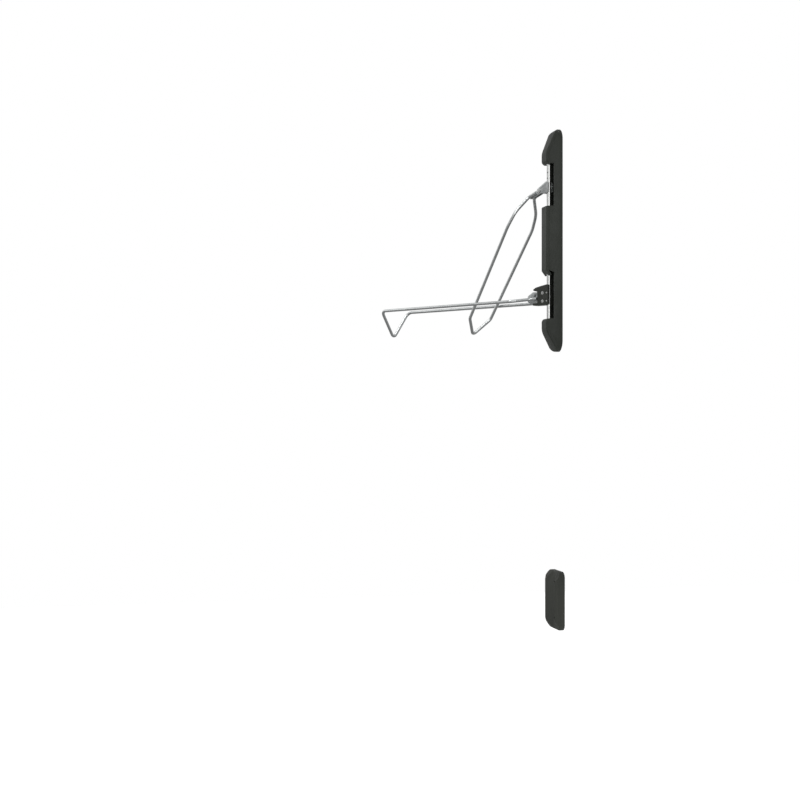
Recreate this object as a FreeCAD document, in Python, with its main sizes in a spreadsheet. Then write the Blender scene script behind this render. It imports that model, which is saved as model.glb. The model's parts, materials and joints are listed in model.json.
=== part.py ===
"""Bicycle wall rack with a swivelling rod, two wire loop arms and a rear tyre dock.

Millimetres, +Z up. The wall is the plane Y = 0 and the rack stands out of it towards -Y.
The origin is the centre of the four wall screw holes, on the wall plane.
Heights in the sheet are measured from the foot of the wall body.
"""
import FreeCAD, Part
import math
import os
import Sketcher
from FreeCAD import Placement, Rotation, Vector

doc = FreeCAD.newDocument("bicycle_wall_rack")
sheet = doc.addObject("Spreadsheet::Sheet", "dim")

DIMENSIONS = {
    # wall body: a tall channel, wide at the wall and narrower at the front
    "body_height": 566, "base_half_width": 30, "front_half_width": 20,
    "side_wall": 3, "floor_depth": 4, "rod_standoff": 26, "window_setback": 5,
    "block_front": 14, "cover_band": 7, "cover_skin": 2.5, "edge_round": 4.5,
    # outline heights of the three blocks and the two windows between them
    "bottom_flat": 7.1, "bottom_radius": 8, "bottom_slope": 29.1, "bottom_nose": 62,
    "bottom_brow": 75, "nose_radius": 40, "end_round": 29,
    "lower_window_low": 84, "lower_window_high": 201, "chin_height": 206, "chin_foot": 194,
    "upper_window_low": 369, "upper_window_high": 477, "top_brow": 486,
    "top_nose": 498, "top_radius": 23, "top_slope": 22.2, "nose_round": 9.34,
    # wall screws and the dock below
    "screw_half_x": 18, "low_screw": 142, "high_screw": 424, "wall_hole_radius": 3.25,
    "dock_low": -705, "dock_high": -557, "dock_half_width": 46, "dock_depth": 26,
    "dock_corner": 16, "dock_floor": 12, "dock_floor_half": 12, "dock_ridge_half": 37,
    "dock_shell": 4, "dock_hole_half": 46, "dock_hole_radius": 2.6,
    # rod, its bearing blocks and retainers
    "rod_radius": 6, "rod_low": 47, "rod_high": 508, "rod_chamfer": 1,
    "bore_radius": 6.06, "bush_half_width": 14.5, "bush_front": 9,
    "bush_screw_x": 10.6, "bush_screw_radius": 1.9, "bush_hole_radius": 2.1,
    "groove_radius": 5.3, "clip_thickness": 1.2, "clip_radius": 9, "washer_thickness": 1,
    "pin_hole_pitch": 15, "top_pin_hole": 456, "cross_pin_radius": 1.55,
    # upper clevis bracket and hinge
    "strap_inner": 6.05, "strap_plate": 3, "bracket_low": 404, "bracket_high": 433,
    "bracket_reach": 33, "bracket_back": 5, "upper_hinge_reach": 25,
    "upper_hinge_height": 411.5, "hinge_radius": 3,
    # lower clamp block
    "block_half_width": 10, "block_low": 119, "block_high": 171, "block_back": 4.5,
    "slot_half_width": 5.05, "bolt_reach": 14, "low_bolt": 129, "high_bolt": 150,
    "bolt_radius": 2.5, "bolt_head_radius": 4.2, "bolt_head_height": 3.5, "block_pin_radius": 2,
    # arms of bent wire
    "wire_radius": 4, "upper_half_span": 39.5, "upper_shoulder_span": 48,
    "lower_half_span": 51, "upper_root_slope": 20, "upper_root_length": 38, "root_half_width": 5.7,
    "lower_leg_height": 130, "lower_leg_reach": 576, "lower_tip_height": 60,
    # the position in use that is modelled as rest: the arms swung along the wall
    "swing_angle": 60,
}
for row, (alias, value) in enumerate(DIMENSIONS.items(), start=1):
    sheet.set(f"A{row}", alias)
    sheet.set(f"B{row}", str(value))
    sheet.setAlias(f"B{row}", alias)
doc.recompute()


class Size:
    """A length that carries both its number and the sheet expression that gives it."""

    def __init__(self, number, text):
        self.number = float(number)
        self.text = text

    def joined(self, sign, other, number):
        return Size(number, f"({self.text} {sign} {text_of(other)})")

    def __add__(self, other):
        return self.joined("+", other, self.number + number_of(other))

    def __sub__(self, other):
        return self.joined("-", other, self.number - number_of(other))

    def __mul__(self, other):
        return self.joined("*", other, self.number * number_of(other))

    def __neg__(self):
        return Size(-self.number, f"(0 - {self.text})")


def number_of(item):
    return item.number if isinstance(item, Size) else float(item)


def text_of(item):
    return item.text if isinstance(item, Size) else f"({float(item)})"


def size(alias):
    return Size(sheet.get(alias), f"dim.{alias}")


def out(reach):
    """Y of a point that lies this far in front of the rod axis, in the wall body's frame."""
    return -(size("rod_standoff") + reach)


# ---------------------------------------------------------------- sketches and solids

PLANE_TURN = {
    "XY_Plane": Rotation(),
    "YZ_Plane": Rotation(Vector(1, 1, 1), 120),
    "XZ_Plane": Rotation(Vector(1, 0, 0), 90),
}


def bind(item, prop, value):
    item.setExpression(prop, text_of(value))


def new_sketch(name, plane, offset=0, body=None):
    """A sketch on a principal plane, moved along its normal by the offset."""
    if body is None:
        sketch = doc.addObject("Sketcher::SketchObject", name)
        shift = PLANE_TURN[plane].multVec(Vector(0, 0, number_of(offset)))
        sketch.Placement = Placement(shift, PLANE_TURN[plane])
        return sketch
    sketch = body.newObject("Sketcher::SketchObject", name)
    support = next(item for item in body.Origin.OriginFeatures if item.Role == plane)
    sketch.AttachmentSupport = [(support, "")]
    sketch.MapMode = "FlatFace"
    bind(sketch, "AttachmentOffset.Base.z", offset)
    return sketch


def fix_point(sketch, edge, end, point):
    """Tie one end of an edge to its coordinates."""
    kinds = (("DistanceX", point[0], -2), ("DistanceY", point[1], -1))
    for kind, value, axis in kinds:
        if not isinstance(value, Size) and value == 0:
            sketch.addConstraint(Sketcher.Constraint("PointOnObject", edge, end, axis))
            continue
        rule = Sketcher.Constraint(kind, -1, 1, edge, end, number_of(value))
        index = sketch.addConstraint(rule)
        if isinstance(value, Size):
            bind(sketch, f"Constraints[{index}]", value)


def arc_edge(start, end, radius):
    """An arc under half a turn. A positive radius turns left on the way, a negative one right."""
    chord = end - start
    middle = (start + end) * 0.5
    left = Vector(-chord.y, chord.x, 0).normalize()
    rise = math.sqrt(radius * radius - chord.Length ** 2 / 4)
    centre = middle + left * math.copysign(rise, radius)
    first, last = (start, end) if radius > 0 else (end, start)
    angles = [math.atan2(p.y - centre.y, p.x - centre.x) for p in (first, last)]
    return Part.ArcOfCircle(Part.Circle(centre, Vector(0, 0, 1), abs(radius)), *angles)


def outline(sketch, corners, arcs=None):
    """A closed outline. arcs gives the radius of the arc that leaves a numbered corner."""
    arcs = arcs or {}
    count = len(corners)
    flat = [Vector(number_of(x), number_of(y), 0) for x, y in corners]
    ends = []
    first = sketch.GeometryCount
    for index, start in enumerate(flat):
        end = flat[(index + 1) % count]
        if index in arcs:
            radius = number_of(arcs[index])
            sketch.addGeometry(arc_edge(start, end, radius), False)
            ends.append((1, 2) if radius > 0 else (2, 1))
        else:
            sketch.addGeometry(Part.LineSegment(start, end), False)
            ends.append((1, 2))
    for index in range(count):
        after = (index + 1) % count
        joint = (first + index, ends[index][1], first + after, ends[after][0])
        sketch.addConstraint(Sketcher.Constraint("Coincident", *joint))
    for index, corner in enumerate(corners):
        fix_point(sketch, first + index, ends[index][0], corner)
    for index, radius in arcs.items():
        length = abs(number_of(radius))
        rule = sketch.addConstraint(Sketcher.Constraint("Radius", first + index, length))
        if isinstance(radius, Size):
            bind(sketch, f"Constraints[{rule}]", radius if radius.number > 0 else -radius)


def rectangle(sketch, left, low, right, high):
    outline(sketch, [(left, low), (right, low), (right, high), (left, high)])


def circle(sketch, x, y, radius):
    edge = sketch.addGeometry(
        Part.Circle(Vector(number_of(x), number_of(y), 0), Vector(0, 0, 1), number_of(radius)))
    fix_point(sketch, edge, 3, (x, y))
    rule = sketch.addConstraint(Sketcher.Constraint("Radius", edge, number_of(radius)))
    if isinstance(radius, Size):
        bind(sketch, f"Constraints[{rule}]", radius)


def new_body(label):
    body = doc.addObject("PartDesign::Body", label)
    body.Label = label
    return body


def pad(body, plane, draw, length, offset=0, symmetric=False):
    """Add material: draw fills the sketch, which is padded along the plane's normal."""
    count = len(body.Group)
    sketch = new_sketch(f"{body.Name}_sketch_{count}", plane, offset, body)
    draw(sketch)
    feature = body.newObject("PartDesign::Pad", f"{body.Name}_pad_{count}")
    feature.Profile = sketch
    feature.SideType = "Symmetric" if symmetric else "One side"
    bind(feature, "Length", length)
    doc.recompute()


def pocket(body, plane, draw, length=None, offset=0, symmetric=False):
    """Remove material along the plane's normal, through everything when no length is given."""
    before = body.Shape.Volume
    count = len(body.Group)
    sketch = new_sketch(f"{body.Name}_sketch_{count}", plane, offset, body)
    draw(sketch)
    feature = body.newObject("PartDesign::Pocket", f"{body.Name}_pocket_{count}")
    feature.Profile = sketch
    feature.SideType = "Symmetric" if symmetric else "One side"
    feature.Reversed = not symmetric
    if length is None:
        feature.Type = "ThroughAll"
    else:
        bind(feature, "Length", length)
    doc.recompute()
    if body.Shape.Volume > before - 0.01:
        raise RuntimeError(f"{body.Label}: {feature.Name} removes nothing")


def extrusion(name, sketch, length, symmetric=False):
    item = doc.addObject("Part::Extrusion", name)
    item.Base = sketch
    item.DirMode = "Normal"
    item.Solid = True
    item.Symmetric = symmetric
    bind(item, "LengthFwd", length)
    return item


def combined(kind, label, base, tool):
    item = doc.addObject(kind, label)
    item.Base = base
    item.Tool = tool
    item.Label = label
    return item


def cylinder(name, radius, length, centre, direction):
    """A round bar that starts at the centre point and runs along the direction."""
    item = doc.addObject("Part::Cylinder", name)
    bind(item, "Radius", radius)
    bind(item, "Height", length)
    place = Vector(*[number_of(value) for value in centre])
    item.Placement = Placement(place, Rotation(Vector(0, 0, 1), Vector(*direction)))
    for axis, value in zip("xyz", centre):
        bind(item, f"Placement.Base.{axis}", value)
    return item


def fused(name, pieces):
    item = doc.addObject("Part::MultiFuse", name)
    item.Shapes = pieces
    return item


def group(label, pieces):
    """Identical fasteners as separate solids of one node."""
    item = doc.addObject("Part::Compound", label)
    item.Links = pieces
    item.Label = label
    return item


# ---------------------------------------------------------------- placing

nodes = []


def on_wall(item):
    """Stand a piece on the wall, its heights counted from the body's foot."""
    bind(item, "Placement.Base.z", size("body_height") * -0.5)
    nodes.append(item)


def on_rod(item, local=None):
    """Stand a piece on the rod axis, swung sideways with the arms."""
    foot = Vector(0, -size("rod_standoff").number, -size("body_height").number / 2)
    turn = Rotation(Vector(0, 0, 1), -size("swing_angle").number)
    place = Placement(foot, turn)
    item.Placement = place.multiply(local) if local else place
    if not local:
        bind(item, "Placement.Base.y", -size("rod_standoff"))
        bind(item, "Placement.Base.z", size("body_height") * -0.5)
        bind(item, "Placement.Rotation.Angle", size("swing_angle"))
        item.Placement = Placement(foot, Rotation(Vector(0, 0, -1), size("swing_angle").number))
    nodes.append(item)


# ---------------------------------------------------------------- wall body

def tapered_block(name, corners, arcs, inset=0):
    """A side outline carried across the body, narrowing to the front and round at both ends."""
    side = new_sketch(f"{name}_side", "YZ_Plane")
    outline(side, corners, arcs)
    plan = new_sketch(f"{name}_plan", "XY_Plane", -20)
    wide = size("base_half_width") - inset
    narrow = size("front_half_width") - inset
    front = out(size("block_front"))
    outline(plan, [(-wide, 0), (-narrow, front), (narrow, front), (wide, 0)])
    face = new_sketch(f"{name}_face", "XZ_Plane", -20)
    bend = size("end_round") - inset
    left = bend - wide
    low = size("end_round") + 0
    high = size("body_height") - size("end_round")
    outline(face, [(left, low - bend), (-left, low - bend), (wide, low), (wide, high),
                   (-left, high + bend), (left, high + bend), (-wide, high), (-wide, low)],
            {1: bend, 3: bend, 5: bend, 7: bend})
    across = extrusion(f"{name}_across", side, size("base_half_width") * 2.2, symmetric=True)
    along = extrusion(f"{name}_along", plan, size("body_height") + 60)
    through = extrusion(f"{name}_through", face, 90)
    both = combined("Part::Common", f"{name}_both", across, along)
    return combined("Part::Common", name, both, through)


def rounded_front(label, block, low, high):
    """Round the long front corners where the tapered sides meet the front."""
    doc.recompute()
    chosen = []
    radius = number_of(size("edge_round"))
    for index, edge in enumerate(block.Shape.Edges, start=1):
        normals = [face.normalAt(*middle_of(face))
                   for face in block.Shape.ancestorsOfType(edge, Part.Face)]
        beside = [normal for normal in normals if abs(normal.x) > 0.9]
        facing = [normal for normal in normals if normal.y < -0.2 and abs(normal.x) < 0.1]
        if beside and facing and low < edge.BoundBox.Center.z < high:
            chosen.append((index, radius, radius))
    item = doc.addObject("Part::Fillet", label)
    item.Base = block
    item.Edges = chosen
    return item


def middle_of(face):
    low_u, high_u, low_v, high_v = face.ParameterRange
    return (low_u + high_u) / 2, (low_v + high_v) / 2


def end_line(end, inset):
    """Front of an end block from the wall to its nose, drawn inside the outer face by the inset.

    Gives the corners, and the radii of the arcs by the corner they leave.
    """
    up = 1 if end == "top" else -1
    level = size("body_height") if end == "top" else size("body_height") * 0
    flat = 0 if end == "top" else size("bottom_flat")
    slope = math.radians(size(f"{end}_slope").number)
    small = size(f"{end}_radius") - inset
    large = size("nose_radius") - inset
    small_level = level - size(f"{end}_radius") * up
    large_y = out(size("block_front")) + size("nose_radius")
    nose = size(f"{end}_nose")
    corners = [(0, level - inset * up)]
    if flat:
        corners.append((-flat, level - inset * up))
    count = len(corners)
    corners += [
        (small * -math.cos(slope) - flat, small_level + small * (up * math.sin(slope))),
        (large_y - large * math.cos(slope), nose + large * (up * math.sin(slope))),
        (out(size("block_front")) + inset, nose),
    ]
    return corners, {count - 1: small, count + 1: large}


def turned_back(corners, arcs):
    """The same line walked the other way, its arcs turning the other way too."""
    last = len(corners) - 2
    return corners[::-1], {last - index: -radius for index, radius in arcs.items()}


def joined_lines(*lines):
    """One closed outline out of several lines of corners and arcs."""
    corners, arcs = [], {}
    for part_corners, part_arcs in lines:
        for index, radius in part_arcs.items():
            arcs[len(corners) + index] = radius
        corners += part_corners
    return corners, arcs


def left_turns(line):
    corners, arcs = line
    return corners, {index: radius if radius.number > 0 else -radius
                     for index, radius in arcs.items()}


def make_wall_spine():
    """Channel whose side walls rise behind the three covers and drop at the two windows."""
    band = size("cover_band")
    rise = size("block_front") - band
    edge = -size("window_setback")
    top = end_line("top", band)
    foot = left_turns(turned_back(*end_line("bottom", band)))
    front = ([
        (out(rise), size("upper_window_high")), (out(edge), size("upper_window_high")),
        (out(edge), size("upper_window_low")), (out(rise), size("upper_window_low")),
        (out(rise), size("chin_height")), (out(edge), size("lower_window_high")),
        (out(edge), size("lower_window_low")), (out(rise), size("lower_window_low")),
    ], {})
    shell = tapered_block("spine_shell", *joined_lines(top, front, foot))
    wall = size("side_wall")
    low, high = band + wall, size("body_height") - band - wall
    hollow = tapered_block("spine_hollow", [
        (-size("floor_depth"), low), (-size("floor_depth"), high),
        (out(16), high), (out(16), low)], {}, inset=wall)
    channel = combined("Part::Cut", "spine_channel", shell, hollow)
    holes = []
    for side in (-1, 1):
        for level in ("low_screw", "high_screw"):
            holes.append(cylinder(
                f"spine_hole_{level}_{side}", size("wall_hole_radius"), size("floor_depth") + 2,
                (size("screw_half_x") * side, 1, size(level)), (0, -1, 0)))
        for low_end, high_end in BUSH_LEVELS.values():
            holes.append(cylinder(
                f"spine_pilot_{low_end}_{side}", size("bush_screw_radius") + 0.05,
                size("floor_depth") + 2,
                (size("bush_screw_x") * side, 1, (low_end + high_end) / 2), (0, -1, 0)))
    on_wall(combined("Part::Cut", "wall_spine", channel, fused("spine_holes", holes)))


COVER_GAP = 0.15


def make_cap(label, corners, arcs, hollow_corners, hollow_arcs, collar_low):
    """Hollow end cover that wraps the front of the body, with a collar plate round the rod."""
    block = tapered_block(f"{label}_block", corners, arcs)
    smooth = rounded_front(f"{label}_smooth", block, -100, 700)
    hollow = tapered_block(
        f"{label}_hollow", hollow_corners, hollow_arcs, inset=size("cover_skin") + 1)
    shell = combined("Part::Cut", f"{label}_shell", smooth, hollow)
    doc.recompute()
    plate = doc.addObject("Part::Box", f"{label}_plate")
    half, ahead, behind = 17, 8, 4
    bind(plate, "Length", 2 * half)
    bind(plate, "Width", ahead + behind)
    bind(plate, "Height", size("cover_skin"))
    bind(plate, "Placement.Base.x", -half)
    bind(plate, "Placement.Base.y", out(ahead))
    bind(plate, "Placement.Base.z", collar_low)
    hole = cylinder(f"{label}_rod_hole", size("rod_radius") + 0.8, 40,
                    (0, -size("rod_standoff"), collar_low - 10), (0, 0, 1))
    joined = fused(f"{label}_joined", [shell, plate])
    on_wall(combined("Part::Cut", label, joined, hole))


def make_top_cap():
    skin = size("cover_skin")
    front = size("block_front")
    lip = front - size("cover_band") + COVER_GAP
    brow = ([(out(front), size("top_brow")), (out(lip), size("upper_window_high"))],
            {0: size("nose_round")})
    inner = turned_back(*end_line("top", size("cover_band") - COVER_GAP))
    corners, arcs = joined_lines(end_line("top", 0), brow, inner)
    floor = size("upper_window_high") + skin
    back = ([(3, floor), (3, size("body_height") - skin)], {})
    hollow = joined_lines(back, end_line("top", skin), ([(out(front - skin), floor)], {}))
    make_cap("top_cap", corners, arcs, *hollow, size("upper_window_high") + 0.5)


def make_bottom_cap():
    skin = size("cover_skin")
    front = size("block_front")
    lip = front - size("cover_band") + COVER_GAP
    inner_corners, inner_arcs = end_line("bottom", size("cover_band") - COVER_GAP)
    inner = (inner_corners, {index: -radius for index, radius in inner_arcs.items()})
    brow = ([(out(lip), size("lower_window_low")), (out(front), size("bottom_brow"))],
            {0: size("nose_round")})
    outer = left_turns(turned_back(*end_line("bottom", 0)))
    corners, arcs = joined_lines(inner, brow, outer)
    ceiling = size("lower_window_low") - skin
    hollow_corners, hollow_arcs = left_turns(turned_back(*end_line("bottom", skin)))
    hollow = joined_lines(([(out(front - skin), ceiling)], {}), (hollow_corners, hollow_arcs),
                          ([(3, skin), (3, ceiling)], {}))
    make_cap("bottom_cap", corners, arcs, *hollow, size("lower_window_low") - 3)


def make_middle_cover():
    """Long front cover between the windows, with a sloping chin at its lower end."""
    front, band, skin = size("block_front"), size("cover_band"), size("cover_skin")
    low, high = size("chin_foot"), size("upper_window_low")
    inner = out(front - band + COVER_GAP)
    corners = [
        (inner, size("chin_height") - 2), (inner, high), (out(front - 1), high),
        (out(front), high - 2), (out(front), size("chin_height")), (out(4), low), (out(1), low),
    ]
    block = tapered_block("middle_block", corners, {})
    smooth = rounded_front("middle_smooth", block, 0, 600)
    hollow = tapered_block("middle_hollow", [
        (out(-2), size("chin_height") + 2), (out(-2), high - skin),
        (out(front - skin), high - skin), (out(front - skin), size("chin_height") + 2)],
        {}, inset=skin + 1)
    shell = combined("Part::Cut", "middle_shell", smooth, hollow)
    bore = cylinder("middle_rod_hole", size("rod_radius") + 0.8, 220,
                    (0, -size("rod_standoff"), low - 10), (0, 0, 1))
    on_wall(combined("Part::Cut", "middle_cover", shell, bore))


# ---------------------------------------------------------------- bearings and rod

BUSH_LEVELS = {"top_bush": (481, 504), "middle_bush": (270, 300), "bottom_bush": (51, 70)}


def make_bush(label, low, high):
    """Moulded block on the channel floor that carries the rod in a running bore."""
    body = new_body(label)
    half = size("bush_half_width")

    def plan(sketch):
        rectangle(sketch, -half, out(size("bush_front")), half, -size("floor_depth") - 0.05)
        circle(sketch, 0, -size("rod_standoff"), size("bore_radius"))

    def screw_holes(sketch):
        for side in (-1, 1):
            circle(sketch, size("bush_screw_x") * side, (low + high) / 2,
                   size("bush_hole_radius"))

    pad(body, "XY_Plane", plan, high - low, offset=low)
    pocket(body, "XZ_Plane", screw_holes)
    on_wall(body)


def make_bush_screws():
    """Two pan-head screws through each bearing block into the channel floor."""
    screws = []
    for label, (low, high) in BUSH_LEVELS.items():
        for side in (-1, 1):
            name = f"{label}_screw_{side}"
            x = size("bush_screw_x") * side
            level = (low + high) / 2
            face = out(size("bush_front") + 0.05)
            shank = cylinder(f"{name}_shank", size("bush_screw_radius"), 34,
                             (x, face, level), (0, 1, 0))
            head = cylinder(f"{name}_head", 3.4, 1.8, (x, face - 1.8, level), (0, 1, 0))
            screws.append(fused(name, [shank, head]))
    on_wall(group("bush_screws", screws))


def make_rod():
    """Ground bar with two clip grooves and cross holes for the bracket's and block's pins."""
    body = new_body("swivel_rod")
    radius, groove = size("rod_radius"), size("groove_radius")
    chamfer = size("rod_chamfer")
    low, high = size("rod_low"), size("rod_high")
    profile = [(0, low), (radius - chamfer, low), (radius, low + chamfer)]
    for level in CLIP_LEVELS:
        profile += [(radius, level), (groove, level),
                    (groove, size("clip_thickness") + level + 0.1),
                    (radius, size("clip_thickness") + level + 0.1)]
    profile += [(radius, high - chamfer), (radius - chamfer, high), (0, high)]
    sketch = new_sketch("rod_profile", "YZ_Plane", 0, body)
    outline(sketch, profile)
    turn = body.newObject("PartDesign::Revolution", "rod_turn")
    turn.Profile = sketch
    turn.ReferenceAxis = (sketch, ["V_Axis"])
    turn.Angle = 360
    doc.recompute()

    def cross_holes(sketch):
        for index in range(4):
            level = size("top_pin_hole") - size("pin_hole_pitch") * index
            circle(sketch, 0, level, size("cross_pin_radius") + 0.05)
        for level in (size("low_bolt"), size("high_bolt")):
            circle(sketch, 0, level, size("block_pin_radius") + 0.05)

    pocket(body, "YZ_Plane", cross_holes, length=30, symmetric=True)
    on_rod(body)


CLIP_LEVELS = (71.1, 504.3)


def ring(name, inner, outer, thickness, level, opening=0):
    """A flat ring round the rod, cut open on one side when it is a spring clip."""
    body = new_body(name)

    def plan(sketch):
        circle(sketch, 0, 0, outer)
        circle(sketch, 0, 0, inner)

    pad(body, "XY_Plane", plan, thickness, offset=level)
    if opening:
        def mouth(sketch):
            rectangle(sketch, -opening, 0, opening, 12)
        pocket(body, "XY_Plane", mouth, offset=level - 1)
    return body


def make_rod_retainers():
    clips = [ring(f"rod_clip_{index}", size("groove_radius") + 0.05, size("clip_radius"),
                  size("clip_thickness"), level + 0.05, opening=4.5)
             for index, level in enumerate(CLIP_LEVELS)]
    on_rod(group("rod_clips", clips))
    washer = ring("thrust_washer", size("rod_radius") + 0.08, 10, size("washer_thickness"),
                  70.05)
    on_rod(washer)


# ---------------------------------------------------------------- upper bracket and arm

def make_upper_bracket():
    """Steel sheet folded into two ears that straddle the rod and taper out to the hinge."""
    body = new_body("upper_bracket")
    inner = size("strap_inner")
    outer = inner + size("strap_plate")
    reach, back = size("bracket_reach"), size("bracket_back")
    low, high = size("bracket_low"), size("bracket_high")
    web = 2.5

    def blank(sketch):
        rectangle(sketch, -outer, -reach, outer, back)

    def ear_gap(sketch):
        rectangle(sketch, -inner, -reach - 1, inner, back + 1)

    def rod_notch(sketch):
        rectangle(sketch, -inner, -7, inner, back + 1)

    def front_notch(sketch):
        rectangle(sketch, -inner, -reach - 1, inner, -16)

    def corner_cuts(sketch):
        outline(sketch, [(-reach - 1, high - 17), (-3, high), (-3, high + 5),
                         (-reach - 1, high + 5)])
        outline(sketch, [(-reach - 1, low - 5), (-17, low - 5), (-17, low),
                         (-reach - 1, low + 4.5)])
        outline(sketch, [(back - 3, high), (back + 1, high - 4), (back + 1, high + 1),
                         (back - 3, high + 1)])
        outline(sketch, [(back - 3, low - 1), (back + 1, low - 1), (back + 1, low + 4),
                         (back - 3, low)])

    def pin_holes(sketch):
        for index in (2, 3):
            level = size("top_pin_hole") - size("pin_hole_pitch") * index
            circle(sketch, 0, level, size("cross_pin_radius") + 0.05)
        circle(sketch, -size("upper_hinge_reach"), size("upper_hinge_height"),
               size("hinge_radius") + 0.05)

    pad(body, "XY_Plane", blank, high - low, offset=low)
    pocket(body, "XY_Plane", ear_gap, offset=low + web)
    pocket(body, "XY_Plane", rod_notch, offset=low - 1)
    pocket(body, "XY_Plane", front_notch, offset=low - 1)
    pocket(body, "YZ_Plane", corner_cuts, length=40, symmetric=True)
    pocket(body, "YZ_Plane", pin_holes, length=40, symmetric=True)
    on_rod(body)


def make_bracket_pins():
    """Two cross pins that lock the bracket at one of the rod's heights."""
    half = size("strap_inner") + size("strap_plate") + 0.4
    pins = []
    for index in (2, 3):
        level = size("top_pin_hole") - size("pin_hole_pitch") * index
        pins.append(cylinder(f"bracket_pin_{index}", size("cross_pin_radius"), half * 2,
                             (-half, 0, level), (1, 0, 0)))
    on_rod(group("bracket_pins", pins))


def make_upper_hinge():
    side = size("strap_inner") + size("strap_plate")
    y, z = -size("upper_hinge_reach"), size("upper_hinge_height")
    shank = cylinder("hinge_shank", size("hinge_radius"), side * 2 + 1.9,
                     (-side - 1.7, y, z), (1, 0, 0))
    head = cylinder("hinge_head", 4.6, 1.6, (side + 0.1, y, z), (1, 0, 0))
    pin = fused("upper_hinge_pin", [shank, head])
    on_rod(pin)
    disc = cylinder("clip_disc", 5.2, 1, (-side - 1.3, y, z), (1, 0, 0))
    hole = cylinder("clip_hole", size("hinge_radius") + 0.03, 4, (-side - 3, y, z), (1, 0, 0))
    on_rod(combined("Part::Cut", "upper_hinge_clip", disc, hole))


def root_point(along, across=0.0):
    """A point of the upper arm's root, along its slope from the hinge: reach and height."""
    slope = math.radians(size("upper_root_slope").number)
    reach = size("upper_hinge_reach").number + along * math.cos(slope) + across * math.sin(slope)
    height = size("upper_hinge_height").number - along * math.sin(slope) \
        + across * math.cos(slope)
    return reach, height


def make_upper_arm_root():
    """Pressed channel between the bracket ears, with the hinge bore through its flanges."""
    body = new_body("upper_arm_root")
    length = size("upper_root_length")
    half, depth = size("root_half_width"), 6.5

    def side_view(sketch):
        outline(sketch, [(-length, -depth + 2), (-length, depth - 2.5), (-length + 3, depth),
                         (3, depth), (7, 3), (7, -3), (3, -depth), (-length + 4, -depth)])

    def inside(sketch):
        rectangle(sketch, -half + 2.2, -depth - 1, half - 2.2, depth - 2.5)

    def bore(sketch):
        circle(sketch, 0, 0, size("hinge_radius") + 0.05)

    pad(body, "YZ_Plane", side_view, half * 2, symmetric=True)
    pocket(body, "XZ_Plane", inside, offset=-8)
    pocket(body, "YZ_Plane", bore, length=40, symmetric=True)
    hinge = Vector(0, -size("upper_hinge_reach").number, size("upper_hinge_height").number)
    tilt = Rotation(Vector(1, 0, 0), size("upper_root_slope").number)
    on_rod(body, Placement(hinge, tilt))


def bent_wire(label, route, radii):
    """Round wire along straight runs joined by tangent arcs, mirrored to close into a loop."""
    mirrored = [Vector(-point.x, point.y, point.z) for point in reversed(route[:-1])]
    points = route + mirrored
    radii = radii + list(reversed(radii[:-1]))
    edges = []
    start = points[0]
    for index in range(1, len(points) - 1):
        corner = points[index]
        back = (points[index - 1] - corner).normalize()
        ahead = (points[index + 1] - corner).normalize()
        half_turn = back.getAngle(ahead) / 2
        trim = radii[index - 1] / math.tan(half_turn)
        first, last = corner + back * trim, corner + ahead * trim
        bisector = (back + ahead).normalize()
        dip = radii[index - 1] / math.sin(half_turn) - radii[index - 1]
        edges.append(Part.LineSegment(start, first).toShape())
        edges.append(Part.Arc(first, corner + bisector * dip, last).toShape())
        start = last
    edges.append(Part.LineSegment(start, points[-1]).toShape())
    path = Part.Wire(edges)
    radius = size("wire_radius").number
    heading = points[1] - points[0]
    section = Part.Wire(Part.Circle(points[0], heading, radius).toShape())
    solid = path.makePipeShell([section], True, True)
    expected = path.Length * math.pi * radius ** 2
    if abs(solid.Volume - expected) > 0.01 * expected:
        raise RuntimeError(f"{label}: swept volume {solid.Volume:.0f}, expected {expected:.0f}")
    item = doc.addObject("Part::Feature", label)
    item.Shape = solid
    item.Label = label
    return item


def make_upper_arm_loop():
    """Leaves the root on both sides, splays round a shoulder, runs down and closes in a V."""
    beside = size("root_half_width").number + size("wire_radius").number - 0.3
    span = size("upper_half_span").number
    shoulder = size("upper_shoulder_span").number
    side_view = [(root_point(13), beside), (root_point(37), beside + 0.5),
                 ((79, 360), shoulder - 8), ((99, 323), shoulder), ((242, 94.5), span),
                 ((269.5, 53.5), 0.0)]
    route = [Vector(across, -reach, height) for (reach, height), across in side_view]
    on_rod(bent_wire("upper_arm_loop", route, [18, 60, 90, 16, 8]))


# ---------------------------------------------------------------- lower block and arm

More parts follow.
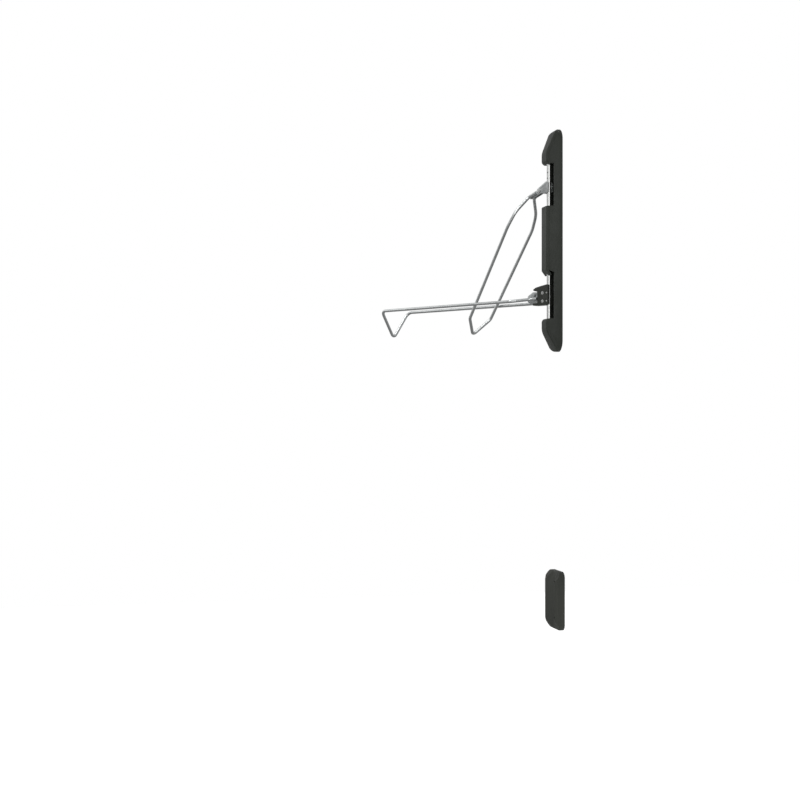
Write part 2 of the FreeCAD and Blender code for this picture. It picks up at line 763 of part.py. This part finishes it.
def make_lower_block(label, side):
    """One moulded half of the fork: it straddles the rod and holds the arm root in its slot."""
    body = new_body(label)
    low, high = size("block_low"), size("block_high")
    back = size("block_back")
    half = size("block_half_width")
    split = 0.05

    def side_view(sketch):
        outline(sketch, [
            (back, low + 2), (back, high - 1), (back - 1, high), (-1, high), (-20, high - 3),
            (-36, high - 6), (-44.5, high - 10), (-44.5, high - 13.5), (-31, high - 17),
            (-31, low + 6), (-45, low + 6), (-46, low + 5), (-46, low + 1), (-45, low),
            (back - 2, low)])

    def rod_bore(sketch):
        circle(sketch, 0, 0, size("rod_radius") + 0.02)

    def root_slot(sketch):
        rectangle(sketch, -60, low + 6, -8.5, high - 17)

    def bolt_holes(sketch):
        for level in (size("low_bolt"), size("high_bolt")):
            circle(sketch, -size("bolt_reach"), level, size("bolt_radius") + 0.05)
            circle(sketch, 0, level, size("block_pin_radius") + 0.05)

    def head_pockets(sketch):
        for level in (size("low_bolt"), size("high_bolt")):
            circle(sketch, -size("bolt_reach"), level, size("bolt_head_radius") + 0.6)

    start = Size(split, f"({split})") if side > 0 else -half
    pad(body, "YZ_Plane", side_view, half - split, offset=start)
    pocket(body, "XY_Plane", rod_bore, offset=low - 1)
    slot_start = Size(0, "(0)") if side > 0 else -size("slot_half_width")
    pocket(body, "YZ_Plane", root_slot, length=size("slot_half_width"), offset=slot_start)
    pocket(body, "YZ_Plane", bolt_holes, length=40, symmetric=True)
    floor = half - size("bolt_head_height") if side > 0 else -half - 1
    pocket(body, "YZ_Plane", head_pockets, length=size("bolt_head_height") + 1, offset=floor)
    on_rod(body)


def hexagon(name, radius, length, centre):
    """A six-sided bar across the block, its corners at the radius."""
    item = doc.addObject("Part::Prism", name)
    item.Polygon = 6
    bind(item, "Circumradius", radius)
    bind(item, "Height", length)
    place = Vector(*[number_of(value) for value in centre])
    item.Placement = Placement(place, Rotation(Vector(0, 0, 1), Vector(1, 0, 0)))
    for axis, value in zip("xyz", centre):
        bind(item, f"Placement.Base.{axis}", value)
    return item


def make_block_fasteners():
    """Through bolts and nuts that close the fork, and cross pins that lock it to the rod."""
    half = size("block_half_width")
    head = size("bolt_head_height")
    bolts, nuts, pins = [], [], []
    for index, level in enumerate((size("low_bolt"), size("high_bolt"))):
        y = -size("bolt_reach")
        shank = cylinder(f"bolt_shank_{index}", size("bolt_radius"), half * 2 - head - 0.3,
                         (-half + 0.3, y, level), (1, 0, 0))
        cap = cylinder(f"bolt_cap_{index}", size("bolt_head_radius"), head + 0.2,
                       (half - head, y, level), (1, 0, 0))
        solid = fused(f"bolt_solid_{index}", [shank, cap])
        socket = hexagon(f"bolt_socket_{index}", 2.3, 3, (half - 2.5, y, level))
        bolts.append(combined("Part::Cut", f"bolt_{index}", solid, socket))
        blank = hexagon(f"nut_blank_{index}", size("bolt_head_radius") + 0.2, head - 0.3,
                        (-half, y, level))
        bore = cylinder(f"nut_bore_{index}", size("bolt_radius") + 0.03, 10,
                        (-half - 2, y, level), (1, 0, 0))
        nuts.append(combined("Part::Cut", f"nut_{index}", blank, bore))
        pins.append(cylinder(f"clamp_pin_{index}", size("block_pin_radius"), half * 2 + 0.6,
                             (-half - 0.3, 0, level), (1, 0, 0)))
    on_rod(group("clamp_bolts", bolts))
    on_rod(group("clamp_nuts", nuts))
    on_rod(group("clamp_pins", pins))


def make_lower_arm_root():
    """Forged steel lug bolted in the clamp's slot; its sloping back braces the wires."""
    body = new_body("lower_arm_root")
    half = size("slot_half_width") - 0.15
    low = size("block_low") + 6.1

    def side_view(sketch):
        outline(sketch, [(-9.5, low), (-9.5, low + 28), (-43, low + 28.5), (-50, low + 29),
                         (-67, low + 20), (-70, low + 13), (-68, low + 5), (-60, low)])

    def openings(sketch):
        for level in (size("low_bolt"), size("high_bolt")):
            circle(sketch, -size("bolt_reach"), level, size("bolt_radius") + 0.05)
        circle(sketch, -42, low + 18.5, 4)

    pad(body, "YZ_Plane", side_view, half * 2, symmetric=True)
    pocket(body, "YZ_Plane", openings, length=40, symmetric=True)
    on_rod(body)


def make_lower_arm_loop():
    """Leaves the lug on both sides, splays, runs level and hangs down in a V at the end."""
    beside = size("slot_half_width").number - 0.15 + size("wire_radius").number - 0.3
    span = size("lower_half_span").number
    level = size("lower_leg_height").number
    reach = size("lower_leg_reach").number
    side_view = [(33, level + 6.5, beside), (52, level + 6, beside + 0.5), (84, level, span),
                 (reach, level, span), (reach + 6, size("lower_tip_height").number - 5, 0.0)]
    route = [Vector(across, -out_reach, height) for out_reach, height, across in side_view]
    on_rod(bent_wire("lower_arm_loop", route, [16, 24, 16, 9]))


# ---------------------------------------------------------------- rear tyre dock

def make_dock():
    """Moulded rest for the rear tyre: a rounded tray whose front is a wide shallow V."""
    body = new_body("dock_body")
    half, corner = size("dock_half_width"), size("dock_corner")
    low, high = size("dock_low"), size("dock_high")
    depth, floor = size("dock_depth"), size("dock_floor")
    ridge, flat = size("dock_ridge_half"), size("dock_floor_half")
    shell = size("dock_shell")

    def front_view(sketch):
        outline(sketch, [(-half + corner, low), (half - corner, low), (half, low + corner),
                         (half, high - corner), (half - corner, high), (-half + corner, high),
                         (-half, high - corner), (-half, low + corner)],
                {1: corner, 3: corner, 5: corner, 7: corner})

    def trough(sketch):
        outline(sketch, [(-flat, -floor), (-ridge, -depth + 2), (-half - 2, -depth + 8),
                         (-half - 2, -depth - 5), (half + 2, -depth - 5), (half + 2, -depth + 8),
                         (ridge, -depth + 2), (flat, -floor)])

    def end_slopes(sketch):
        outline(sketch, [(-depth - 1, high - 30), (-depth + 16, high + 1), (-depth - 1, high + 1)])
        outline(sketch, [(-depth - 1, low - 1), (-depth + 16, low - 1), (-depth - 1, low + 30)])

    def back_hollow(sketch):
        rectangle(sketch, flat + 3, low + 14, half - shell - 4, high - 14)
        rectangle(sketch, -half + shell + 4, low + 14, -flat - 3, high - 14)

    def screw_holes(sketch):
        middle = (low + high) * 0.5
        for side in (-1, 1):
            circle(sketch, 0, middle + size("dock_hole_half") * side, size("dock_hole_radius"))

    pad(body, "XZ_Plane", front_view, depth)
    pocket(body, "XY_Plane", trough, offset=low - 5)
    pocket(body, "YZ_Plane", end_slopes, length=200, symmetric=True)
    pocket(body, "XZ_Plane", back_hollow, length=floor - shell, offset=0)
    pocket(body, "XZ_Plane", screw_holes, offset=-1)
    on_wall(body)


make_wall_spine()
make_top_cap()
make_middle_cover()
make_bottom_cap()
for bush_label, (bush_low, bush_high) in BUSH_LEVELS.items():
    make_bush(bush_label, bush_low, bush_high)
make_bush_screws()
make_rod()
make_rod_retainers()
make_upper_bracket()
make_bracket_pins()
make_upper_hinge()
make_upper_arm_root()
make_upper_arm_loop()
make_lower_block("clamp_near_half", 1)
make_lower_block("clamp_far_half", -1)
make_block_fasteners()
make_lower_arm_root()
make_lower_arm_loop()
make_dock()
doc.recompute()

for item in doc.Objects:
    if "Invalid" in item.State or "Error" in item.State:
        raise RuntimeError(f"{item.Label} failed: {item.State}")
os.makedirs("parts", exist_ok=True)
for node in nodes:
    shape = node.Shape
    if shape.isNull() or not shape.isValid():
        raise RuntimeError(f"{node.Label} has no valid shape")
    shape.exportStep(f"parts/{node.Label}.step")
    box = shape.BoundBox
    print(f"{node.Label:20s} {len(shape.Solids)} solids {shape.Volume / 1000:9.2f} cm3 "
          f"X {box.XMin:7.1f} {box.XMax:7.1f} Y {box.YMin:7.1f} {box.YMax:7.1f} "
          f"Z {box.ZMin:7.1f} {box.ZMax:7.1f}")
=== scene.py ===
"""Bicycle wall rack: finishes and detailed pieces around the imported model.

Metres, +Z up, the wall is the plane Y = 0 and the rack stands out of it towards -Y.
"""
import json
import math

import bmesh
import bpy
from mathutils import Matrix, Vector


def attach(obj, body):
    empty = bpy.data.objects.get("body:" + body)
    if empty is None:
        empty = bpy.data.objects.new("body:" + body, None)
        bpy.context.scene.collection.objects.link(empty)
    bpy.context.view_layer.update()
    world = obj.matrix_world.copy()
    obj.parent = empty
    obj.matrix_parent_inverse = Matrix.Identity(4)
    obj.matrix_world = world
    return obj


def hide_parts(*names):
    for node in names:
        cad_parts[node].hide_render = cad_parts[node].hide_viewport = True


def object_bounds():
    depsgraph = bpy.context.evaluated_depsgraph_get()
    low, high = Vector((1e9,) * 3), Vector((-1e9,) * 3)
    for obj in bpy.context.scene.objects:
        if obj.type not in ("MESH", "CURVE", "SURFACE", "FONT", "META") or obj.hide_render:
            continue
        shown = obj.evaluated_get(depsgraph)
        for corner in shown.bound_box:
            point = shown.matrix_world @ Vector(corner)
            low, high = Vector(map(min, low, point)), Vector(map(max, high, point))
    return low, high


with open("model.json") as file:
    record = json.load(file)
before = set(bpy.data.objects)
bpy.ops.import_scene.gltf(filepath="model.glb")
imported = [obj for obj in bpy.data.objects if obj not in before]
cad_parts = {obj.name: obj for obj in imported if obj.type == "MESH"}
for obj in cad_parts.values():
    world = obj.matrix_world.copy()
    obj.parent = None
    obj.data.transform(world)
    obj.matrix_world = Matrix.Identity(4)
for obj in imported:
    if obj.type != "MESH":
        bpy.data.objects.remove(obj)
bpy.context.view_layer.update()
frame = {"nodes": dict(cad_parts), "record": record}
FLOOR_DROP = 0.31
FLOOR_HALF = 2.8
FLOOR_RIM_DROP = 0.12
FLOOR_GLOW = 0.55
SKY_STRENGTH = 0.62
CAMERA_PLACE = (3.385, -1.199, -0.426)
CAMERA_VIEW = (-0.974, 0.2255, 0.0)
CAMERA_LENS = 63.0
BODY_DARKENING = 0.62


# ---------------------------------------------------------------- node trees

class Finish:
    """A material whose detail comes from noise in the piece's own coordinates."""

    def __init__(self, name, metallic=0.0, ior=1.5, specular=0.5):
        self.material = bpy.data.materials.new(name)
        self.material.use_nodes = True
        self.tree = self.material.node_tree
        self.tree.nodes.clear()
        self.shader = self.add("ShaderNodeBsdfPrincipled")
        output = self.add("ShaderNodeOutputMaterial")
        self.join(self.shader.outputs["BSDF"], output.inputs["Surface"])
        self.shader.inputs["Metallic"].default_value = metallic
        self.shader.inputs["IOR"].default_value = ior
        self.shader.inputs["Specular IOR Level"].default_value = specular
        self.place = self.add("ShaderNodeTexCoord").outputs["Object"]
        self.relief = None

    def add(self, kind, **settings):
        node = self.tree.nodes.new(kind)
        for key, value in settings.items():
            setattr(node, key, value)
        return node

    def join(self, source, target):
        self.tree.links.new(source, target)

    def stretched(self, scale):
        mapping = self.add("ShaderNodeMapping")
        mapping.inputs["Scale"].default_value = scale
        self.join(self.place, mapping.inputs["Vector"])
        return mapping.outputs["Vector"]

    def noise(self, scale, detail=3.0, roughness=0.55, vector=None):
        node = self.add("ShaderNodeTexNoise")
        node.inputs["Scale"].default_value = scale
        node.inputs["Detail"].default_value = detail
        node.inputs["Roughness"].default_value = roughness
        self.join(vector or self.place, node.inputs["Vector"])
        return node.outputs["Fac"]

    def cells(self, scale, vector=None, feature="F1"):
        node = self.add("ShaderNodeTexVoronoi", feature=feature)
        node.inputs["Scale"].default_value = scale
        self.join(vector or self.place, node.inputs["Vector"])
        return node.outputs["Distance"]

    def remap(self, value, low, high, new_low=0.0, new_high=1.0):
        node = self.add("ShaderNodeMapRange")
        for key, number in (("From Min", low), ("From Max", high),
                            ("To Min", new_low), ("To Max", new_high)):
            node.inputs[key].default_value = number
        self.join(value, node.inputs["Value"])
        return node.outputs["Result"]

    def mixed(self, factor, first, second):
        """Between two colours, each a triple or the output of another node."""
        node = self.add("ShaderNodeMix", data_type="RGBA")
        self.join(factor, node.inputs["Factor"])
        for value, target in ((first, node.inputs[6]), (second, node.inputs[7])):
            if isinstance(value, tuple):
                target.default_value = (*value, 1.0)
            else:
                self.join(value, target)
        return node.outputs[2]

    def sum(self, first, second, operation="ADD"):
        node = self.add("ShaderNodeMath", operation=operation)
        for value, target in ((first, node.inputs[0]), (second, node.inputs[1])):
            if isinstance(value, (int, float)):
                target.default_value = value
            else:
                self.join(value, target)
        return node.outputs["Value"]

    def edges(self, radius):
        """1 near edges and corners, 0 on flats, from the rounding of the normal."""
        bevel = self.add("ShaderNodeBevel", samples=4)
        bevel.inputs["Radius"].default_value = radius
        normal = self.add("ShaderNodeNewGeometry").outputs["Normal"]
        dot = self.add("ShaderNodeVectorMath", operation="DOT_PRODUCT")
        self.join(bevel.outputs["Normal"], dot.inputs[0])
        self.join(normal, dot.inputs[1])
        return self.remap(dot.outputs["Value"], 0.99, 0.86)

    def bump(self, height, distance, strength=1.0):
        node = self.add("ShaderNodeBump")
        node.inputs["Strength"].default_value = strength
        node.inputs["Distance"].default_value = distance
        self.join(height, node.inputs["Height"])
        if self.relief is not None:
            self.join(self.relief, node.inputs["Normal"])
        self.relief = node.outputs["Normal"]
        self.join(self.relief, self.shader.inputs["Normal"])

    def colour(self, source):
        self.join(source, self.shader.inputs["Base Color"])

    def rough(self, source):
        self.join(source, self.shader.inputs["Roughness"])


def shade(colour, factor):
    return tuple(min(1.0, channel * factor) for channel in colour)


def moulded(name, colour, grain, roughness, wear=0.35):
    """Moulded plastic: spark-eroded grain, faint flow marks, burnished edges and dust specks."""
    finish = Finish(name, specular=0.2)
    flow = finish.noise(14.0, 4.0, 0.6, finish.stretched((1.0, 1.0, 0.35)))
    cloud = finish.mixed(finish.remap(flow, 0.32, 0.7), shade(colour, 0.82), shade(colour, 1.2))
    speck = finish.remap(finish.noise(1300.0, 2.0), 0.60, 0.78)
    specked = finish.mixed(speck, cloud, shade(colour, 1.7))
    edge = finish.sum(finish.edges(0.0012), finish.noise(160.0, 3.0), "MULTIPLY")
    worn = finish.remap(edge, 0.1, 0.75, 0.0, wear)
    finish.colour(finish.mixed(worn, specked, shade(colour, 2.3)))
    gloss = finish.remap(finish.noise(45.0, 4.0), 0.3, 0.7, roughness - 0.05, roughness + 0.06)
    finish.rough(finish.sum(gloss, finish.remap(edge, 0.1, 0.75, 0.0, 0.10), "SUBTRACT"))
    finish.bump(finish.noise(5.0, 2.0), 0.0012, 0.25)
    finish.bump(finish.cells(grain), 0.00006, 0.55)
    return finish.material


def plated(name, colour, roughness, lines, cloud_scale=60.0, dull=0.12):
    """Bright zinc plate over drawn or pressed steel: drawn lines, clouds and small dull spots."""
    finish = Finish(name, metallic=1.0)
    clouds = finish.noise(cloud_scale, 5.0, 0.62)
    tint = finish.mixed(finish.remap(clouds, 0.3, 0.7), shade(colour, 0.88), shade(colour, 1.06))
    spots = finish.remap(finish.noise(420.0, 3.0, 0.7), 0.60, 0.74)
    finish.colour(finish.mixed(spots, tint, shade(colour, 0.72)))
    streak = finish.noise(lines[0], 3.0, 0.6, finish.stretched(lines[1]))
    base = finish.remap(streak, 0.3, 0.7, roughness * 0.75, roughness * 1.25)
    spotted = finish.sum(spots, dull, "MULTIPLY")
    finish.rough(finish.sum(base, spotted))
    finish.bump(clouds, 0.00025, 0.3)
    finish.bump(streak, 0.00002, 0.5)
    return finish.material


def forged(name, colour):
    """Plated forging: soft hammered skin with scale pits under the zinc."""
    finish = Finish(name, metallic=1.0)
    lumps = finish.noise(190.0, 4.0, 0.6)
    pits = finish.remap(finish.cells(520.0), 0.0, 0.28)
    tint = finish.mixed(finish.remap(lumps, 0.3, 0.7), shade(colour, 0.8), shade(colour, 1.08))
    finish.colour(finish.mixed(pits, shade(colour, 0.55), tint))
    finish.rough(finish.remap(finish.noise(300.0, 4.0), 0.3, 0.7, 0.30, 0.48))
    finish.bump(lumps, 0.0006, 0.45)
    finish.bump(pits, 0.00008, 0.5)
    return finish.material


def ground_bar(name, colour):
    """Ground and polished bar: fine rings round it and long faint rub marks."""
    finish = Finish(name, metallic=1.0)
    rings = finish.noise(2600.0, 2.0, 0.5, finish.stretched((0.02, 0.02, 1.0)))
    rub = finish.noise(70.0, 4.0, 0.6, finish.stretched((1.0, 1.0, 0.06)))
    finish.colour(finish.mixed(finish.remap(rub, 0.35, 0.68), shade(colour, 0.9), colour))
    finish.rough(finish.sum(finish.remap(rub, 0.3, 0.7, 0.13, 0.18),
                            finish.remap(rings, 0.3, 0.7, 0.0, 0.03)))
    finish.bump(rings, 0.000004, 0.15)
    return finish.material


def slot_colour(slot):
    rows = frame["record"]["materials"]
    return tuple(next(row["base_color"] for row in rows if row["slot"] == slot))


FINISHES = {
    "body_moulding": moulded("body moulding", shade(slot_colour("body_moulding"), BODY_DARKENING),
                             1900.0, 0.42),
    "dock_moulding": moulded("dock moulding", slot_colour("dock_moulding"), 1500.0, 0.50),
    "clamp_moulding": moulded("clamp moulding", slot_colour("clamp_moulding"), 2100.0, 0.36),
    "bearing_plastic": moulded("bearing plastic", slot_colour("bearing_plastic"), 2400.0, 0.48),
    "stainless_rod": ground_bar("stainless rod", slot_colour("stainless_rod")),
    "bright_wire": plated("bright wire", slot_colour("bright_wire"), 0.24,
                          (900.0, (1.0, 1.0, 0.12))),
    "zinc_sheet": plated("zinc sheet", slot_colour("zinc_sheet"), 0.34,
                         (1500.0, (0.15, 0.15, 1.0)), 110.0, 0.18),
    "zinc_forging": forged("zinc forging", slot_colour("zinc_forging")),
    "bright_fastener": plated("bright fastener", slot_colour("bright_fastener"), 0.26,
                              (2400.0, (1.0, 1.0, 0.3)), 300.0, 0.1),
}
NODE_SLOTS = {row["node"]: row["material_slot"] for row in frame["record"]["subparts"]}
NODE_BODIES = {node: body for body, members in
               frame["record"]["behaviour"]["bodies"].items() for node in members}


def finished(piece, slot):
    piece.data.materials.clear()
    piece.data.materials.append(FINISHES[slot])


for node, item in frame["nodes"].items():
    finished(item, NODE_SLOTS[node])


# ---------------------------------------------------------------- detailed pieces

def smooth_by_angle(mesh, degrees):
    for polygon in mesh.polygons:
        polygon.use_smooth = True
    shape = bmesh.new()
    shape.from_mesh(mesh)
    limit = math.radians(degrees)
    for edge in shape.edges:
        edge.smooth = len(edge.link_faces) == 2 and edge.calc_face_angle(0.0) < limit
    shape.to_mesh(mesh)
    shape.free()


def applied(piece):
    """Bake the piece's modifiers into its mesh."""
    graph = bpy.context.evaluated_depsgraph_get()
    mesh = bpy.data.meshes.new_from_object(piece.evaluated_get(graph))
    piece.modifiers.clear()
    old = piece.data
    piece.data = mesh
    bpy.data.meshes.remove(old)


def placed(name, mesh, node):
    """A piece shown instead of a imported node, on the same body and with the same finish."""
    body, slot = NODE_BODIES[node], NODE_SLOTS[node]
    piece = bpy.data.objects.new(name, mesh)
    bpy.context.scene.collection.objects.link(piece)
    finished(piece, slot)
    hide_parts(node)
    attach(piece, body)
    return piece


def eased(node, width, segments=3, angle=28.0):
    """The node's shape with every hard edge rounded off, as a mould or a deburring leaves it."""
    mesh = frame["nodes"][node].data.copy()
    shape = bmesh.new()
    shape.from_mesh(mesh)
    bmesh.ops.remove_doubles(shape, verts=shape.verts, dist=2e-6)
    bmesh.ops.dissolve_limit(shape, angle_limit=math.radians(0.6), verts=shape.verts,
                             edges=shape.edges)
    shape.to_mesh(mesh)
    shape.free()
    piece = placed(f"{node}.eased", mesh, node)
    rounding = piece.modifiers.new("rounding", "BEVEL")
    rounding.width = width
    rounding.segments = segments
    rounding.limit_method = "ANGLE"
    rounding.angle_limit = math.radians(angle)
    rounding.use_clamp_overlap = True
    applied(piece)
    smooth_by_angle(piece.data, 35.0)


# ---------------------------------------------------------------- camera, floor and light

def aim(item, target):
    direction = Vector(target) - item.location
    item.rotation_mode = "QUATERNION"
    item.rotation_quaternion = direction.to_track_quat("-Z", "Y")


def make_camera():
    data = bpy.data.cameras.new("camera")
    data.sensor_width = 36.0
    data.lens = CAMERA_LENS
    data.shift_y = 0.01
    data.clip_start, data.clip_end = 0.05, 60.0
    camera = bpy.data.objects.new("camera", data)
    bpy.context.scene.collection.objects.link(camera)
    camera.location = CAMERA_PLACE
    aim(camera, camera.location + Vector(CAMERA_VIEW))
    bpy.context.scene.camera = camera


def make_floor():
    """A wide pale floor below the rack, its rim sloping down, with a glow of its own.

    It is left out of reflections, so that the bright wires do not mirror it.
    """
    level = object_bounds()[0].z - FLOOR_DROP
    shape = bmesh.new()
    bmesh.ops.create_grid(shape, x_segments=24, y_segments=24, size=FLOOR_HALF)
    for vertex in shape.verts:
        spread = max(abs(vertex.co.x), abs(vertex.co.y)) / FLOOR_HALF
        vertex.co.z = -FLOOR_RIM_DROP * max(0.0, spread - 0.9)
        vertex.co += Vector((-0.2, -0.3, level))
    mesh = bpy.data.meshes.new("floor")
    shape.to_mesh(mesh)
    shape.free()
    floor = bpy.data.objects.new("floor", mesh)
    bpy.context.scene.collection.objects.link(floor)
    finish = Finish("pale floor", specular=0.2)
    finish.colour(finish.mixed(finish.noise(30.0), (0.95, 0.95, 0.948), (0.97, 0.97, 0.968)))
    finish.rough(finish.remap(finish.noise(90.0), 0.3, 0.7, 0.7, 0.85))
    finish.shader.inputs["Emission Color"].default_value = (1, 1, 1, 1)
    finish.shader.inputs["Emission Strength"].default_value = FLOOR_GLOW
    mesh.materials.append(finish.material)
    floor.visible_glossy = False


def make_light(name, place, target, power, width, height):
    data = bpy.data.lights.new(name, "AREA")
    data.shape = "RECTANGLE"
    data.size, data.size_y = width, height
    data.energy = power
    light = bpy.data.objects.new(name, data)
    bpy.context.scene.collection.objects.link(light)
    light.location = place
    aim(light, target)


def make_world():
    """Plain white where the camera looks past the rack, a grey-to-white sky for light and reflections."""
    world = bpy.data.worlds.new("studio")
    bpy.context.scene.world = world
    world.use_nodes = True
    tree = world.node_tree
    tree.nodes.clear()
    output = tree.nodes.new("ShaderNodeOutputWorld")
    seen = tree.nodes.new("ShaderNodeBackground")
    seen.inputs["Color"].default_value = (1, 1, 1, 1)
    seen.inputs["Strength"].default_value = 1.0
    sky = tree.nodes.new("ShaderNodeBackground")
    sky.inputs["Strength"].default_value = SKY_STRENGTH
    coords = tree.nodes.new("ShaderNodeTexCoord")
    split = tree.nodes.new("ShaderNodeSeparateXYZ")
    ramp = tree.nodes.new("ShaderNodeValToRGB")
    ramp.color_ramp.elements[0].position = 0.0
    ramp.color_ramp.elements[0].color = (0.38, 0.38, 0.38, 1)
    ramp.color_ramp.elements[1].position = 1.0
    ramp.color_ramp.elements[1].color = (1.0, 1.0, 1.0, 1)
    lift = tree.nodes.new("ShaderNodeMapRange")
    lift.inputs["From Min"].default_value = -0.6
    lift.inputs["From Max"].default_value = 0.9
    tree.links.new(coords.outputs["Generated"], split.inputs["Vector"])
    tree.links.new(split.outputs["Z"], lift.inputs["Value"])
    tree.links.new(lift.outputs["Result"], ramp.inputs["Fac"])
    tree.links.new(ramp.outputs["Color"], sky.inputs["Color"])
    path = tree.nodes.new("ShaderNodeLightPath")
    mix = tree.nodes.new("ShaderNodeMixShader")
    tree.links.new(path.outputs["Is Camera Ray"], mix.inputs["Fac"])
    tree.links.new(sky.outputs["Background"], mix.inputs[1])
    tree.links.new(seen.outputs["Background"], mix.inputs[2])
    tree.links.new(mix.outputs["Shader"], output.inputs["Surface"])


make_camera()
make_floor()
make_world()
make_light("key", (0.6, -2.6, 3.0), (0, 0, -0.2), 34.0, 1.6, 1.6)
make_light("front", (3.55, -1.25, 0.5), (0, 0, 0), 21.0, 1.9, 1.9)
make_light("fill", (-2.0, -2.4, 1.0), (0, 0, -0.2), 10.0, 2.0, 2.0)
bpy.context.scene.view_settings.view_transform = "Standard"

EDGE_WIDTHS = {
    0.0007: ("wall_spine", "top_cap", "middle_cover", "bottom_cap"),
    0.0009: ("clamp_near_half", "clamp_far_half", "lower_arm_root", "upper_arm_root"),
    0.0004: ("upper_bracket",),
    0.0003: ("clamp_bolts", "clamp_nuts", "clamp_pins", "upper_hinge_pin"),
    0.0012: ("dock_body",),
}
for width, members in EDGE_WIDTHS.items():
    for node in members:
        eased(node, width)
